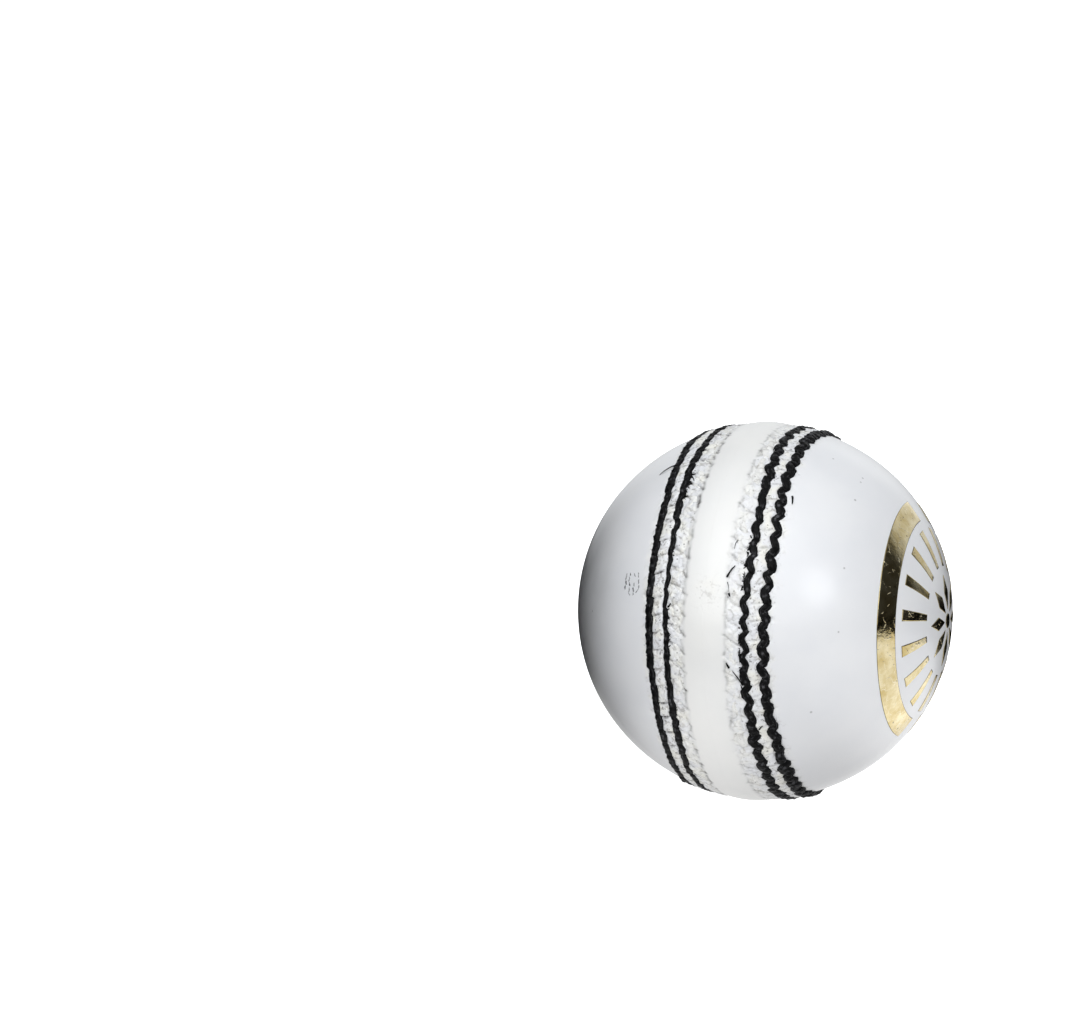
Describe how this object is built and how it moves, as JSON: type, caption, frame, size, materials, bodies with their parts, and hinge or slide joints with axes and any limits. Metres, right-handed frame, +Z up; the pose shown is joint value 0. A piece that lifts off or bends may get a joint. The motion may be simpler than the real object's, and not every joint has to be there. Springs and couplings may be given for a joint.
{
  "type": "cricket ball",
  "caption": "White leather cricket ball with a raised seam of black and white stitch rows, a quilted cork and yarn core, and a plain gold foil sunburst on one cup.",
  "frame": {"origin": "centre of the ball", "axes": "+X through the pole of the stamped cup, so the seam lies in the YZ plane; +Z up; a viewer at -Y sees the seam upright"},
  "size_m": [0.0717, 0.0726, 0.0726],
  "materials": {
    "white_leather": "white dyed leather under a clear lacquer, smooth on the cups and puckered along the seam",
    "black_thread": "black waxed linen thread with a satin lustre",
    "white_thread": "white waxed linen thread, lacquered over with the leather",
    "gold_foil": "hot-stamped gold foil, mirror bright with fine cracks and scratches",
    "grey_ink": "thin grey stamping ink",
    "cork_core": "ground agglomerated cork",
    "cork_strip": "cut sheet cork with open grain",
    "wound_yarn": "tightly wound undyed worsted yarn"
  },
  "bodies": {
    "root": {"cork_nucleus": "cork_core", "yarn_winding_1": "wound_yarn", "yarn_winding_2": "wound_yarn", "yarn_winding_3": "wound_yarn", "yarn_winding_4": "wound_yarn", "yarn_winding_5": "wound_yarn", "cork_course_1_strip_1": "cork_strip", "cork_course_1_strip_2": "cork_strip", "cork_course_1_strip_3": "cork_strip", "cork_course_1_strip_4": "cork_strip", "cork_course_2_strip_1": "cork_strip", "cork_course_2_strip_2": "cork_strip", "cork_course_2_strip_3": "cork_strip", "cork_course_2_strip_4": "cork_strip", "cork_course_3_strip_1": "cork_strip", "cork_course_3_strip_2": "cork_strip", "cork_course_3_strip_3": "cork_strip", "cork_course_3_strip_4": "cork_strip", "cork_course_3_strip_5": "cork_strip", "cork_course_3_strip_6": "cork_strip", "cork_course_4_strip_1": "cork_strip", "cork_course_4_strip_2": "cork_strip", "cork_course_4_strip_3": "cork_strip", "cork_course_4_strip_4": "cork_strip", "cork_course_4_strip_5": "cork_strip", "cork_course_4_strip_6": "cork_strip", "leather_cup_left": "white_leather", "leather_cup_right": "white_leather", "seam_thread_left": "black_thread", "seam_thread_right": "black_thread", "seam_thread_primary": "white_thread", "gold_foil_stamp": "gold_foil", "ink_mark": "grey_ink"}
  },
  "joints": []
}
